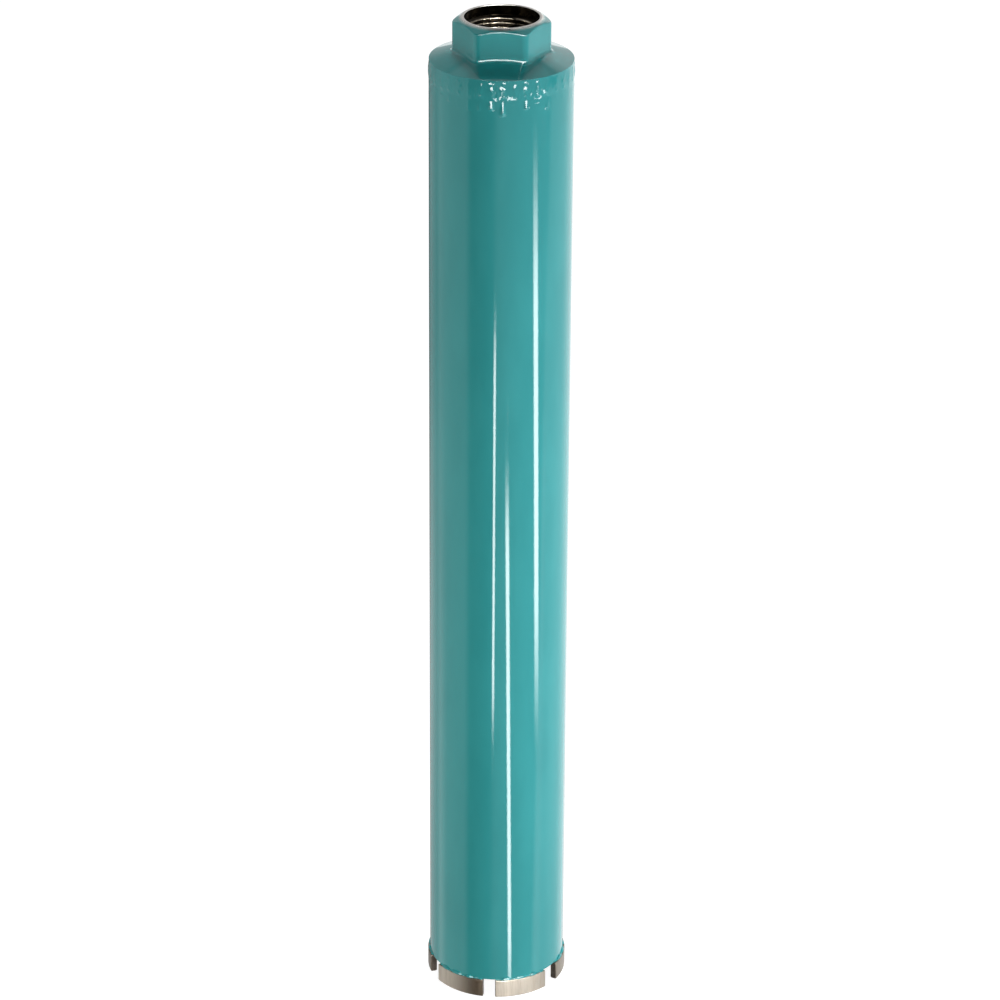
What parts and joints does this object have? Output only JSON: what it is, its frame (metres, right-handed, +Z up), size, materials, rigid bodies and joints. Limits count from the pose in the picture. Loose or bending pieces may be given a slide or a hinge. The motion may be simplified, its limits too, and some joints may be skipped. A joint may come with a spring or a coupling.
{
  "type": "diamond core bit",
  "caption": "Wet diamond core bit: long painted steel tube with a threaded hexagonal hub and brazed cutting segments.",
  "frame": {"origin": "on the bit's axis, in the plane of the cutting tips", "axes": "+Z up along the bit's axis from the tips to the hub; -Y towards the front wrench flat"},
  "size_m": [0.065, 0.065, 0.4709],
  "materials": {
    "tube_paint": "gloss",
    "hub_paint": "gloss",
    "weld_paint": "gloss",
    "segment_metal": "ground"
  },
  "bodies": {
    "root": {"core_tube": "tube_paint", "hub": "hub_paint", "seam_weld": "weld_paint", "segment_1": "segment_metal", "segment_2": "segment_metal", "segment_3": "segment_metal", "segment_4": "segment_metal", "segment_5": "segment_metal", "segment_6": "segment_metal"}
  },
  "joints": []
}
